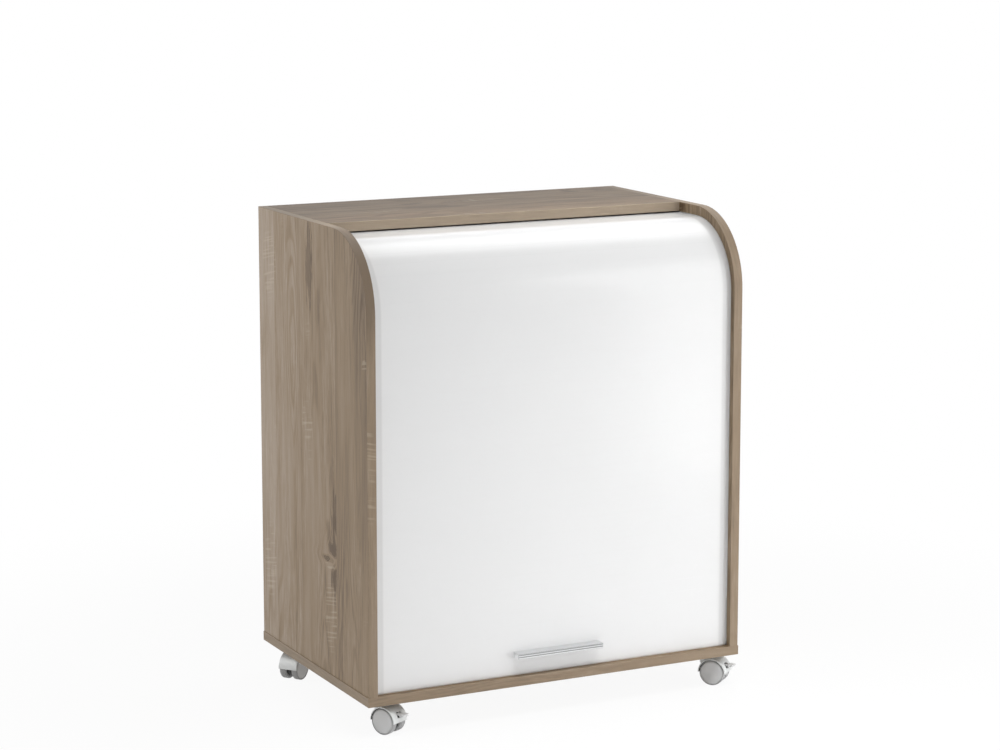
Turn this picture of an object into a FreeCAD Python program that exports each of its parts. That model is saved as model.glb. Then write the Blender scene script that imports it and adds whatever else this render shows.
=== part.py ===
import FreeCAD, Part
import math
import os
from collections import defaultdict

from FreeCAD import Placement, Rotation, Vector

# A computer desk built as a cabinet: a slatted shutter rolls up in tracks over shelves, on four castors.
# Sizes are in millimetres. +Z is up from the floor, the shutter faces -Y and +X is to the right.
# Depths are counted from the side panels' front edges, and the finished model is moved at the end
# so that its origin lies on the floor in the middle of its footprint.

# Carcass boards
cabinet_width = 790.0            # over the outer faces of the side panels
cabinet_depth = 515.0
cabinet_height = 872.0           # from the underside of the bottom panel to the top face
board_thickness = 18.0
edge_band_thickness = 1.0
edge_band_round = 0.6
corner_radius = 147.0            # quarter round at the side panels' upper front corner
bottom_overhang = 1.5            # bottom panel beyond each side panel
top_setback = 212.0              # top panel's front edge behind the side panels' front edges

# Back panels and cable outlet
back_panel_thickness = 4.0
back_rebate_width = 15.0
back_rebate_in_top = 10.0
back_panel_play = 0.5
inner_back_thickness = 5.0
inner_back_groove_depth = 6.0
inner_back_gap = 10.0            # between the inner back panel and the tracks' rear leg
cable_hole_radius = 30.0
cable_hole_x = 135.0
cable_hole_height = 122.0        # above the bottom panel
grommet_wall = 2.5
grommet_flange_width = 5.0
grommet_flange_thickness = 2.0

# Shelves inside
work_surface_height = 640.0      # top of the fixed work shelf above the floor
shelf_front_gap = 6.0            # between the shutter's rail and the work shelf's front edge
cable_notch_width = 160.0
cable_notch_depth = 40.0
divider_x = -115.0
divider_setback = 60.0
loose_shelf_side_play = 1.0
loose_shelf_back_gap = 10.0
peg_radius = 2.5
peg_depth = 8.0
peg_inset = 60.0                 # peg columns from the loose shelf's front and back edges
peg_pitch = 32.0
peg_rows = 7
peg_row_in_use = 3
peg_first_row = 150.0            # lowest peg hole above the bottom panel
peg_tongue_length = 9.0
peg_tongue_width = 8.0
peg_tongue_height = 6.0

# Shutter and its tracks
shutter_recess = 14.0            # slats behind the side panels' front edges
slat_thickness = 8.0
slat_pitch = 24.2
slat_gap = 0.3
slat_edge_break = 0.5
slat_end_play = 1.3
shutter_bend_radius = 131.0      # outside of the slats at the front bend
shutter_top_gap = 3.0            # between the slats and the top panel
shutter_tail_slats = 5           # slats lying under the top panel when shut
rear_bend_radius = 76.0
rear_gap = 4.0                   # between the slats' rear run and the back panel
rear_leg_length = 380.0
track_depth = 8.0
track_wall = 1.2
track_play = 0.4

# Lead rail and handle
rail_height = 97.0               # top of the rail above the bottom panel
rail_thickness = 10.0
rail_side_play = 1.0
rail_round = 1.0
felt_height = 1.5
felt_inset = 1.0
shoe_tongue = 10.0
shoe_length = 85.0
handle_length = 180.0
handle_height = 64.0             # top of the ledge above the underside of the bottom panel
handle_projection = 22.0
handle_ledge = 3.0
handle_plate = 3.0
handle_plate_height = 12.0
handle_lip_thickness = 3.6
handle_lip_height = 10.0
handle_groove = 0.9
handle_groove_places = (2.0, 6.0)  # below the top of the ledge
handle_round = 0.7
handle_screw_x = 64.0
handle_screw_radius = 1.7
handle_screw_head_radius = 3.0
handle_screw_head_height = 2.0
handle_screw_in_rail = 8.0

# Fasteners
dowel_radius = 4.0
dowel_in_face = 10.0
dowel_in_end = 20.0
dowel_end_play = 0.5
cam_radius = 7.5
cam_height = 12.5
cam_distance = 24.0              # cam centre from the end of its board
cam_bolt_radius = 3.0
cam_bolt_in_side = 10.0
cam_bolt_play = 0.5
fitting_inset = 50.0             # cam fittings from a board's front and back edges
dowel_spacing = 32.0             # dowel beside each cam fitting
confirmat_radius = 2.5
confirmat_length = 50.0
confirmat_head_radius = 5.0
confirmat_head_height = 3.0
confirmat_inset = 110.0
back_screw_radius = 1.5
back_screw_length = 16.0
back_screw_head_radius = 2.7
back_screw_edge = 0.3            # back panel left beside the screw heads
back_screw_head_height = 1.8
back_screw_rows = 5
back_screw_inset = 60.0
back_screws_in_top = 3
seat_clearance = 0.1             # glued, pressed and screwed seats
hole_clearance = 0.05            # fasteners in their holes

# Castors
castor_inset_side = 44.0
castor_inset_front = 46.0
castor_inset_rear = 72.0
wheel_radius = 25.0
wheel_width = 13.5
wheel_edge_round = 2.5
wheel_gap = 1.0                  # wheels to the hood, and wheels to the core
wheel_bore_play = 0.05
wheel_wall = 3.0                 # closed outer face of a wheel beyond its bore
core_thickness = 11.0
core_lower_radius = 20.0
hood_wall = 2.2
hood_round = 0.8
swivel_offset = 18.0             # axle behind the swivel axis
swivel_boss_radius = 12.0
swivel_boss_height = 5.8         # boss above the hood
swivel_boss_depth = 13.0         # boss down beside the hood
swivel_play = 0.5
plate_size = 38.0
plate_thickness = 2.5
plate_hole_spacing = 29.0
plate_corner_radius = 4.0
plate_hole_radius = 2.2
kingpin_radius = 4.0
kingpin_length = 32.0
kingpin_rib = 0.6
kingpin_rib_height = 2.0
kingpin_rib_drop = 10.0
running_clearance = 0.08
axle_radius = 3.0
castor_screw_radius = 1.75
castor_screw_length = 14.0
castor_screw_head_radius = 3.5
castor_screw_head_height = 2.2

# Brake levers on the front castors
brake_pivot_forward = 16.0       # from the axle, away from the swivel axis
brake_pivot_up = 12.0
brake_pin_radius = 1.5
brake_tongue = 4.0               # web left between the lever's cheeks
brake_cheek_radius = 4.0
brake_side_play = 0.3
brake_arm_bottom = 13.2          # above the axle
brake_arm_thickness = 3.6
brake_arm_reach = 29.5
brake_paddle_reach = 41.0
brake_paddle_width = 18.0
brake_paddle_round = 3.0
brake_swing_room = 5.0           # room under the arm for the lever to be pressed down
brake_top_room = 1.5

# Directions in which the castors trail, in degrees from +X towards +Y
castor_angles = {"front_left": -62.0, "front_right": -50.0, "rear_left": -142.0, "rear_right": -38.0}

# Values worked out from the sizes above
hood_inner_radius = wheel_radius + wheel_gap
hood_outer_radius = hood_inner_radius + hood_wall
castor_width = core_thickness + 2 * (wheel_gap + wheel_width)
castor_height = wheel_radius + hood_outer_radius + swivel_boss_height + swivel_play + plate_thickness
outer_x = cabinet_width / 2
inner_x = outer_x - board_thickness
bottom_top = castor_height + board_thickness
cabinet_top = castor_height + cabinet_height
top_underside = cabinet_top - board_thickness
back_front_face = cabinet_depth - back_panel_thickness

front_run = shutter_recess + slat_thickness / 2
top_run = top_underside - shutter_top_gap - slat_thickness / 2
rear_run = back_front_face - rear_gap - slat_thickness / 2
front_bend = shutter_bend_radius - slat_thickness / 2
rear_bend = rear_bend_radius - slat_thickness / 2
front_bend_centre = (front_run + front_bend, top_run - front_bend)
rear_bend_centre = (rear_run - rear_bend, top_run - rear_bend)
channel_half = slat_thickness / 2 + track_play
track_half = channel_half + track_wall
channel_depth = track_depth - track_wall
slat_half_length = inner_x + channel_depth - slat_end_play
rail_top = bottom_top + rail_height
rail_bottom = bottom_top + felt_height

inner_back_rear = rear_run - track_half - inner_back_gap
inner_back_front = inner_back_rear - inner_back_thickness
inner_back_top = rear_bend_centre[1]
shelf_front = shutter_recess + rail_thickness + shelf_front_gap
work_underside = work_surface_height - board_thickness
divider_left = divider_x - board_thickness / 2
divider_right = divider_x + board_thickness / 2
loose_shelf_back = inner_back_front - loose_shelf_back_gap
peg_level = bottom_top + peg_first_row + peg_row_in_use * peg_pitch
loose_shelf_underside = peg_level + peg_radius
peg_columns = (divider_setback + peg_inset, loose_shelf_back - peg_inset)

SIDES = {"left": -1, "right": 1}
UP = Vector(0, 0, 1)
ALONG_X = Vector(1, 0, 0)
ALONG_Y = Vector(0, 1, 0)

solids = {}
cuts = defaultdict(list)
groups = defaultdict(list)


def block(low, high):
    """A box between two corners given in any order."""
    corner = Vector(*(min(a, b) for a, b in zip(low, high)))
    return Part.makeBox(*(abs(b - a) for a, b in zip(low, high)), corner)


def rod(radius, start, end):
    """A round bar from one point to another."""
    run = end - start
    return Part.makeCylinder(radius, run.Length, start, run)


def fused(pieces):
    return pieces[0].multiFuse(pieces[1:]).removeSplitter()


def diagonal(centre, radius, along_y, along_z):
    """The middle of a quarter circle in the YZ plane."""
    reach = radius / math.sqrt(2)
    return (centre[0] + along_y * reach, centre[1] + along_z * reach)


def outline_solid(start, steps, x_from, x_to):
    """Extrude along X an outline in the YZ plane: a step is a point, or (point on an arc, its end)."""
    edges = []
    here = start
    for step in steps + [start]:
        if isinstance(step[0], tuple):
            through, end = step
            arc = Part.Arc(Vector(x_from, *here), Vector(x_from, *through), Vector(x_from, *end))
            edges.append(arc.toShape())
        else:
            end = step
            edges.append(Part.makeLine(Vector(x_from, *here), Vector(x_from, *end)))
        here = end
    return Part.Face(Part.Wire(edges)).extrude(ALONG_X * (x_to - x_from))


def side_outline(inset, x_from, x_to):
    """The side panel's shape, drawn in by the thickness of its edging where it has one."""
    centre = (corner_radius, cabinet_top - corner_radius)
    radius = corner_radius - inset
    bend = (diagonal(centre, radius, -1, 1), (centre[0], cabinet_top - inset))
    steps = [(inset, centre[1]), bend, (cabinet_depth, cabinet_top - inset), (cabinet_depth, bottom_top)]
    return outline_solid((inset, bottom_top), steps, x_from, x_to)


def track_band(half, x_from, x_to, end_play=0.0):
    """The band swept by the slats' path: up the front, round the bend, back, and down behind."""
    front_y, front_z = front_bend_centre
    rear_y, rear_z = rear_bend_centre
    leg_end = rear_z - rear_leg_length - end_play
    steps = [
        (front_run - half, front_z),
        (diagonal(front_bend_centre, front_bend + half, -1, 1), (front_y, top_run + half)),
        (rear_y, top_run + half),
        (diagonal(rear_bend_centre, rear_bend + half, 1, 1), (rear_run + half, rear_z)),
        (rear_run + half, leg_end),
        (rear_run - half, leg_end),
        (rear_run - half, rear_z),
        (diagonal(rear_bend_centre, rear_bend - half, 1, 1), (rear_y, top_run - half)),
        (front_y, top_run - half),
        (diagonal(front_bend_centre, front_bend - half, -1, 1), (front_run + half, front_z)),
        (front_run + half, bottom_top),
    ]
    return outline_solid((front_run - half, bottom_top), steps, x_from, x_to)


def long_edges(shape, wanted):
    """The edges of a shape whose middle point passes a test."""
    return [edge for edge in shape.Edges if wanted(edge.valueAt(sum(edge.ParameterRange) / 2), edge)]


# Carcass

def side_panels():
    for side, sign in SIDES.items():
        panel = f"side_panel_{side}"
        face = sign * inner_x
        solids[panel] = side_outline(edge_band_thickness, face, sign * outer_x)
        groove_end = face + sign * (track_depth + seat_clearance)
        cuts[panel].append(track_band(track_half + seat_clearance, face, groove_end, seat_clearance))
        cuts[panel].append(block(
            (face, inner_back_front - seat_clearance, bottom_top),
            (face + sign * (inner_back_groove_depth + seat_clearance),
             inner_back_rear + seat_clearance, inner_back_top + seat_clearance)))
        cuts[panel].append(block(
            (face, back_front_face, bottom_top),
            (face + sign * back_rebate_width, cabinet_depth, top_underside + back_rebate_in_top)))


def side_edge_bands():
    for side, sign in SIDES.items():
        whole = side_outline(0.0, sign * inner_x, sign * outer_x)
        band = whole.cut(side_outline(edge_band_thickness, sign * inner_x, sign * outer_x))
        arc_centre = Vector(0, corner_radius, cabinet_top - corner_radius)

        def outside(middle, edge):
            flat = edge.BoundBox.XLength < edge_band_thickness / 2
            on_front = abs(middle.y) < edge_band_thickness / 2
            on_top = abs(middle.z - cabinet_top) < edge_band_thickness / 2 and edge.Length > board_thickness
            from_centre = (Vector(0, middle.y, middle.z) - arc_centre).Length
            on_arc = abs(from_centre - corner_radius) < edge_band_thickness / 2
            return flat and edge.Length > board_thickness and (on_front or on_top or on_arc)

        solids[f"side_edge_band_{side}"] = band.makeFillet(edge_band_round, long_edges(band, outside))


def bottom_panel():
    half = outer_x + bottom_overhang - edge_band_thickness
    solids["bottom_panel"] = block((-half, edge_band_thickness, castor_height),
                                   (half, cabinet_depth, bottom_top))
    full = half + edge_band_thickness
    strip = block((-full, 0, castor_height), (full, cabinet_depth, bottom_top))
    strip = strip.cut(solids["bottom_panel"])

    def outside(middle, edge):
        along = edge.Length > 2 * board_thickness
        on_side = abs(abs(middle.x) - full) < edge_band_thickness / 2
        return along and (on_side or middle.y < edge_band_thickness / 2)

    solids["bottom_edge_band"] = strip.makeFillet(edge_band_round, long_edges(strip, outside))


def top_panel():
    solids["top_panel"] = block((-inner_x, top_setback + edge_band_thickness, top_underside),
                                (inner_x, cabinet_depth, cabinet_top))
    strip = block((-inner_x, top_setback, top_underside),
                  (inner_x, top_setback + edge_band_thickness, cabinet_top))

    def outside(middle, edge):
        return edge.Length > 2 * board_thickness and middle.y < top_setback + edge_band_thickness / 2

    solids["top_edge_band"] = strip.makeFillet(edge_band_round, long_edges(strip, outside))
    cuts["top_panel"].append(block(
        (-inner_x, back_front_face, top_underside),
        (inner_x, cabinet_depth, top_underside + back_rebate_in_top)))


def back_panels():
    half = inner_x + back_rebate_width - back_panel_play
    top = top_underside + back_rebate_in_top - back_panel_play
    solids["back_panel"] = block((-half, back_front_face, bottom_top), (half, cabinet_depth, top))
    half = inner_x + inner_back_groove_depth
    solids["inner_back_panel"] = block((-half, inner_back_front, bottom_top),
                                       (half, inner_back_rear, inner_back_top))
    centre = Vector(cable_hole_x, 0, bottom_top + cable_hole_height)
    for panel, front, rear in (("inner_back_panel", inner_back_front, inner_back_rear),
                               ("back_panel", back_front_face, cabinet_depth)):
        start = centre + ALONG_Y * front
        end = centre + ALONG_Y * rear
        cuts[panel].append(rod(cable_hole_radius, start, end))
        sleeve_radius = cable_hole_radius - seat_clearance
        flange_front = start - ALONG_Y * grommet_flange_thickness
        ring = rod(sleeve_radius, flange_front, end)
        ring = ring.fuse(rod(cable_hole_radius + grommet_flange_width, flange_front, start))
        groups["cable_grommets"].append(ring.cut(rod(sleeve_radius - grommet_wall, flange_front, end)))


def inner_boards():
    shelf = block((-inner_x, shelf_front, work_underside), (inner_x, inner_back_front, work_surface_height))
    notch = block((-cable_notch_width / 2, inner_back_front - cable_notch_depth, work_underside),
                  (cable_notch_width / 2, inner_back_front, work_surface_height))
    solids["work_shelf"] = shelf.cut(notch)
    solids["lower_divider"] = block((divider_left, divider_setback, bottom_top),
                                    (divider_right, inner_back_front, work_underside))
    solids["loose_shelf"] = block(
        (divider_right + loose_shelf_side_play, divider_setback, loose_shelf_underside),
        (inner_x - loose_shelf_side_play, loose_shelf_back, loose_shelf_underside + board_thickness))


def shelf_pegs():
    """Rows of peg holes on both sides of the right-hand bay, with pegs in the row that is used."""
    for board, face, sign in (("lower_divider", divider_right, -1), ("side_panel_right", inner_x, 1)):
        for column in peg_columns:
            for row in range(peg_rows):
                mouth = Vector(face, column, bottom_top + peg_first_row + row * peg_pitch)
                bottom = mouth + ALONG_X * sign * (peg_depth + dowel_end_play)
                cuts[board].append(rod(peg_radius + hole_clearance, mouth, bottom))
            mouth = Vector(face, column, peg_level)
            peg = rod(peg_radius, mouth, mouth + ALONG_X * sign * peg_depth)
            tongue_low = (face, column - peg_tongue_width / 2, loose_shelf_underside - peg_tongue_height)
            tongue_end = face - sign * peg_tongue_length
            tongue_high = (tongue_end, column + peg_tongue_width / 2, loose_shelf_underside)
            groups["shelf_pegs"].append(peg.fuse(block(tongue_low, tongue_high)))


def shutter_tracks():
    for side, sign in SIDES.items():
        face = sign * inner_x
        body = track_band(track_half, face, face + sign * track_depth)
        channel = track_band(channel_half, face, face + sign * channel_depth, -track_wall)
        solids[f"shutter_track_{side}"] = body.cut(channel)


# Fasteners

def dowel(point, direction, face_board, end_board):
    """A dowel at a joint: direction points from the face that is drilled into the end that stands on it."""
    start = point - direction * dowel_in_face
    end = point + direction * dowel_in_end
    groups["wood_dowels"].append(rod(dowel_radius, start, end))
    play = direction * dowel_end_play
    hole = rod(dowel_radius + hole_clearance, start - play, end + play)
    cuts[face_board].append(hole)
    cuts[end_board].append(hole)


def cam_fitting(point, inward, board, side_board, underside):
    """A cam in a board's underside, and the bolt that it draws towards it out of the side panel."""
    bolt_end = point + inward * (cam_distance - cam_radius - cam_bolt_play)
    bolt_root = point - inward * cam_bolt_in_side
    groups["cam_bolts"].append(rod(cam_bolt_radius, bolt_root, bolt_end))
    cuts[side_board].append(rod(cam_bolt_radius + hole_clearance, point, bolt_root - inward * dowel_end_play))
    centre = point + inward * cam_distance
    cuts[board].append(rod(cam_bolt_radius + cam_bolt_play, point, centre))
    foot = Vector(centre.x, centre.y, underside)
    groups["cam_discs"].append(rod(cam_radius, foot, foot + UP * cam_height))
    cuts[board].append(rod(cam_radius + hole_clearance, foot, foot + UP * (cam_height + dowel_end_play)))


def confirmat(point, end_board):
    """A furniture screw from below, with its head let into the bottom panel."""
    head_top = point + UP * confirmat_head_height
    shank = rod(confirmat_radius, point, point + UP * confirmat_length)
    groups["confirmat_screws"].append(shank.fuse(rod(confirmat_head_radius, point, head_top)))
    tip = point + UP * (confirmat_length + dowel_end_play)
    cuts["bottom_panel"].append(rod(confirmat_radius + hole_clearance, point, tip))
    cuts["bottom_panel"].append(rod(confirmat_head_radius + hole_clearance, point, head_top))
    cuts[end_board].append(rod(confirmat_radius + hole_clearance, point, tip))


def shelf_fastenings(board, front, back, underside):
    """Cam fittings and dowels between a board and both side panels, near its front and back edges."""
    level = underside + board_thickness / 2
    for side, sign in SIDES.items():
        inward = ALONG_X * -sign
        for edge, towards_middle in ((front, 1), (back, -1)):
            cam_y = edge + towards_middle * fitting_inset
            cam_fitting(Vector(sign * inner_x, cam_y, level), inward, board, f"side_panel_{side}", underside)
            dowel_y = cam_y + towards_middle * dowel_spacing
            dowel(Vector(sign * inner_x, dowel_y, level), inward, f"side_panel_{side}", board)


def standing_board_fastenings(board, x, front, back):
    """Screws from below and dowels between the bottom panel and a board that stands on it."""
    for edge, towards_middle in ((front, 1), (back, -1)):
        screw_y = edge + towards_middle * confirmat_inset
        confirmat(Vector(x, screw_y, castor_height), board)
        dowel(Vector(x, screw_y + towards_middle * dowel_spacing, bottom_top), UP, "bottom_panel", board)


def board_fastenings():
    shelf_fastenings("top_panel", top_setback, back_front_face, top_underside)
    shelf_fastenings("work_shelf", shelf_front, inner_back_front, work_underside)
    side_middle = inner_x + board_thickness / 2
    for side, sign in SIDES.items():
        standing_board_fastenings(f"side_panel_{side}", sign * side_middle, 0.0, cabinet_depth)
    standing_board_fastenings("lower_divider", divider_x, divider_setback, inner_back_front)
    for y in (divider_setback + fitting_inset, inner_back_front - fitting_inset):
        dowel(Vector(divider_x, y, work_underside), UP * -1, "work_shelf", "lower_divider")


def back_screw(x, z, board):
    """A screw through the back panel, with its head flush in the panel's rear face."""
    rear = Vector(x, cabinet_depth, z)
    head_seat = rear - ALONG_Y * back_screw_head_height
    tip = rear - ALONG_Y * back_screw_length
    head = rod(back_screw_head_radius, rear, head_seat)
    groups["back_screws"].append(rod(back_screw_radius, rear, tip).fuse(head))
    hole = rod(back_screw_radius + hole_clearance, rear, tip - ALONG_Y * dowel_end_play)
    cuts["back_panel"] += [hole, rod(back_screw_head_radius + hole_clearance, rear, head_seat)]
    cuts[board].append(hole)


def back_screws():
    panel_half = inner_x + back_rebate_width - back_panel_play
    screw_x = panel_half - back_screw_edge - back_screw_head_radius
    low = bottom_top + back_screw_inset
    step = (top_underside - bottom_top - 2 * back_screw_inset) / (back_screw_rows - 1)
    for side, sign in SIDES.items():
        for row in range(back_screw_rows):
            back_screw(sign * screw_x, low + row * step, f"side_panel_{side}")
    spacing = 2 * inner_x / (back_screws_in_top + 1)
    for count in range(back_screws_in_top):
        back_screw(-inner_x + (count + 1) * spacing, top_underside + back_rebate_in_top / 2, "top_panel")


# Shutter

def slat_section(low, high):
    """Outline steps of a straight slat standing on the front run, its outer edges broken."""
    outer = shutter_recess
    inner = shutter_recess + slat_thickness
    edge = slat_edge_break
    return [(outer, low + edge), (outer, high - edge), (outer + edge, high), (inner, high), (inner, low),
            (outer + edge, low)]


def straight_slat(low, high):
    points = slat_section(low, high)
    return outline_solid(points[0], points[1:], -slat_half_length, slat_half_length)


def front_slats():
    """Slats from the rail up to where the front bend starts."""
    length = front_bend_centre[1] - rail_top
    count = max(1, round(length / slat_pitch))
    pitch = length / count
    for number in range(count):
        low = rail_top + number * pitch
        groups["shutter_front_slats"].append(straight_slat(low + slat_gap / 2, low + pitch - slat_gap / 2))


def on_bend(radius, angle):
    """A point of the front bend, at an angle counted from where the bend leaves the front run."""
    centre_y, centre_z = front_bend_centre
    return (centre_y - radius * math.cos(angle), centre_z + radius * math.sin(angle))


def curved_slat(first, last):
    """A slat lying in the front bend between two angles, its outer edges broken."""
    outer = front_bend + slat_thickness / 2
    inner = front_bend - slat_thickness / 2
    edge = slat_edge_break
    middle = (first + last) / 2
    steps = [
        (on_bend(outer, middle), on_bend(outer, last - edge / outer)),
        on_bend(outer - edge, last),
        on_bend(inner, last),
        (on_bend(inner, middle), on_bend(inner, first)),
        on_bend(outer - edge, first),
    ]
    return outline_solid(on_bend(outer, first + edge / outer), steps, -slat_half_length, slat_half_length)


def upper_slats():
    """Slats lying in the bend and, behind it, under the top panel."""
    quarter = math.pi / 2
    count = max(1, round(quarter * front_bend / slat_pitch))
    step = quarter / count
    half_gap = slat_gap / 2 / front_bend
    for number in range(count):
        slat = curved_slat(number * step + half_gap, (number + 1) * step - half_gap)
        groups["shutter_upper_slats"].append(slat)
    outer = top_run + slat_thickness / 2
    inner = top_run - slat_thickness / 2
    edge = slat_edge_break
    for number in range(shutter_tail_slats):
        front = front_bend_centre[0] + number * slat_pitch + slat_gap / 2
        back = front + slat_pitch - slat_gap
        steps = [(back - edge, outer), (back, outer - edge), (back, inner), (front, inner)]
        steps.append((front, outer - edge))
        slat = outline_solid((front + edge, outer), steps, -slat_half_length, slat_half_length)
        groups["shutter_upper_slats"].append(slat)


def lead_rail():
    """The stiff lowest member of the shutter, its felt, and the shoes that run in the tracks."""
    half = inner_x - rail_side_play
    back = shutter_recess + rail_thickness
    rail = block((-half, shutter_recess, rail_bottom), (half, back, rail_top - slat_gap))

    def front_edge(middle, edge):
        return edge.Length > rail_height and middle.y < shutter_recess + rail_round

    solids["shutter_rail"] = rail.makeFillet(rail_round, long_edges(rail, front_edge))
    solids["rail_felt"] = block((-half, shutter_recess + felt_inset, bottom_top),
                                (half, back - felt_inset, rail_bottom))
    shoe_low = (rail_bottom + rail_top - shoe_length) / 2
    for sign in SIDES.values():
        root = sign * (half - shoe_tongue)
        low = (root, front_run - slat_thickness / 2 + rail_round, shoe_low)
        high = (sign * slat_half_length, front_run + slat_thickness / 2, shoe_low + shoe_length)
        groups["rail_shoes"].append(block(low, high))
        cuts["shutter_rail"].append(block(
            (root - sign * seat_clearance, low[1] - seat_clearance, low[2] - seat_clearance),
            (sign * half, high[1] + seat_clearance, high[2] + seat_clearance)))


def handle():
    """An aluminium profile: a plate on the rail, a ledge, and a grooved lip that the fingers go behind."""
    back = shutter_recess
    plate = back - handle_plate
    front = back - handle_projection
    lip = front + handle_lip_thickness
    ledge_top = castor_height + handle_height
    ledge_bottom = ledge_top - handle_ledge
    lip_bottom = ledge_top - handle_lip_height
    plate_bottom = ledge_top - handle_plate_height
    half = handle_length / 2
    steps = [(back, plate_bottom), (back, ledge_top), (front, ledge_top)]
    for drop in handle_groove_places:
        level = ledge_top - drop
        groove_bottom = (front + handle_groove, level)
        steps += [(front, level + handle_groove), groove_bottom, (front, level - handle_groove)]
    steps += [(front, lip_bottom), (lip, lip_bottom), (lip, ledge_bottom), (plate, ledge_bottom)]
    profile = outline_solid((plate, plate_bottom), steps, -half, half)

    def outer_edge(middle, edge):
        along = edge.Length > handle_length / 2
        on_lip = middle.y < lip + handle_groove / 2 and (middle.z < lip_bottom + handle_groove / 2)
        on_nose = middle.y < front + handle_groove / 2 and middle.z > ledge_top - handle_groove / 2
        return along and (on_lip or on_nose)

    solids["shutter_handle"] = profile.makeFillet(handle_round, long_edges(profile, outer_edge))
    screw_z = (ledge_bottom + plate_bottom) / 2
    for sign in SIDES.values():
        seat = Vector(sign * handle_screw_x, plate, screw_z)
        tip = Vector(seat.x, back + handle_screw_in_rail, screw_z)
        head = rod(handle_screw_head_radius, seat - ALONG_Y * handle_screw_head_height, seat)
        groups["handle_screws"].append(head.fuse(rod(handle_screw_radius, seat, tip)))
        hole = rod(handle_screw_radius + hole_clearance, seat, tip + ALONG_Y * dowel_end_play)
        cuts["shutter_handle"].append(hole)
        cuts["shutter_rail"].append(hole)


# Castors, each built with its swivel axis on Z and its axle lying along Y, trailing towards +X

def axle_bar(radius, half_length, forward=0.0, up=0.0):
    """A round bar across the castor, placed from its axle."""
    centre = Vector(swivel_offset + forward, 0, wheel_radius + up)
    return rod(radius, centre - ALONG_Y * half_length, centre + ALONG_Y * half_length)


def castor_block(forward, half_width, up):
    """A box across the castor, between two distances forward of the axle and two heights above it."""
    return block((swivel_offset + forward[0], -half_width, wheel_radius + up[0]),
                 (swivel_offset + forward[1], half_width, wheel_radius + up[1]))


def kingpin_shape(growth):
    """The kingpin with its snap rib, or with growth the bore that it turns in."""
    foot = Vector(0, 0, castor_height - kingpin_length - growth)
    rib_foot = Vector(0, 0, castor_height - plate_thickness - swivel_play - kingpin_rib_drop - growth)
    rib_top = rib_foot + UP * (kingpin_rib_height + 2 * growth)
    rib = rod(kingpin_radius + kingpin_rib + growth, rib_foot, rib_top)
    return rod(kingpin_radius + growth, foot, Vector(0, 0, castor_height)).fuse(rib)


def upper_half(radius):
    """A box that holds the part of the castor above its axle."""
    return castor_block((-2 * radius, 2 * radius), castor_width, (0, 2 * radius))


def castor_core(with_brake):
    half = core_thickness / 2
    upper = axle_bar(hood_inner_radius - hole_clearance, half).common(upper_half(hood_inner_radius))
    core = upper.fuse(axle_bar(core_lower_radius, half)).removeSplitter()
    core = core.cut([axle_bar(axle_radius + hole_clearance, half), kingpin_shape(running_clearance)])
    if with_brake:
        back = brake_pivot_forward - brake_cheek_radius - brake_top_room
        floor = brake_pivot_up - brake_cheek_radius - brake_swing_room
        ceiling = brake_arm_bottom + brake_arm_thickness + brake_top_room
        pocket = castor_block((back, 2 * hood_outer_radius), core_thickness, (floor, ceiling))
        tongue = castor_block((back, 2 * hood_outer_radius), brake_tongue / 2, (floor, ceiling))
        pin_hole = axle_bar(brake_pin_radius + hole_clearance, half, brake_pivot_forward, brake_pivot_up)
        core = core.cut(pocket.cut(tongue)).cut(pin_hole)
    return core


def castor_hood(with_brake):
    half = castor_width / 2
    shell = axle_bar(hood_outer_radius, half).common(upper_half(hood_outer_radius))

    def rim(middle, edge):
        return isinstance(edge.Curve, Part.Circle) and abs(abs(middle.y) - half) < hood_round / 2

    shell = shell.makeFillet(hood_round, long_edges(shell, rim))
    boss_top = castor_height - plate_thickness - swivel_play
    boss_foot = boss_top - swivel_boss_height - swivel_boss_depth
    boss = rod(swivel_boss_radius, UP * boss_foot, UP * boss_top)
    hood = shell.fuse(boss).cut([axle_bar(hood_inner_radius, castor_width), kingpin_shape(running_clearance)])
    if with_brake:
        low = brake_arm_bottom - brake_swing_room
        high = brake_arm_bottom + brake_arm_thickness + brake_top_room
        hood = hood.cut(castor_block((0, 2 * hood_outer_radius), core_thickness / 2 + wheel_gap, (low, high)))
    return hood.removeSplitter()


def castor_axle():
    return axle_bar(axle_radius, castor_width / 2 - wheel_wall)


def castor_wheel(sign):
    inner_face = Vector(swivel_offset, sign * (core_thickness / 2 + wheel_gap), wheel_radius)
    outward = ALONG_Y * sign
    disc = rod(wheel_radius, inner_face, inner_face + outward * wheel_width)
    disc = disc.makeFillet(wheel_edge_round, [edge for edge in disc.Edges if edge.isClosed()])
    bore_end = inner_face + outward * (wheel_width - wheel_wall + wheel_bore_play)
    return disc.cut(rod(axle_radius + wheel_bore_play, inner_face, bore_end))


def brake_lever():
    """A forked lever on a pin across the core, with a paddle outside the hood."""
    half = core_thickness / 2
    arm_up = (brake_arm_bottom, brake_arm_bottom + brake_arm_thickness)
    gap = brake_tongue / 2 + brake_side_play
    fork = axle_bar(brake_cheek_radius, half, brake_pivot_forward, brake_pivot_up)
    fork = fork.fuse(castor_block((brake_pivot_forward, brake_arm_reach), half, arm_up)).removeSplitter()
    room = castor_block((0, hood_outer_radius), gap, (0, 2 * hood_outer_radius))
    pin_hole = axle_bar(brake_pin_radius + hole_clearance, half, brake_pivot_forward, brake_pivot_up)
    paddle = castor_block((brake_arm_reach, brake_paddle_reach), brake_paddle_width / 2, arm_up)
    corners = [edge for edge in paddle.Edges if edge.BoundBox.ZLength > brake_arm_thickness / 2]
    paddle = paddle.makeFillet(brake_paddle_round, corners)
    return fused([fork.cut([room, pin_hole]), paddle])


def brake_pin():
    return axle_bar(brake_pin_radius, core_thickness / 2, brake_pivot_forward, brake_pivot_up)


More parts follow.
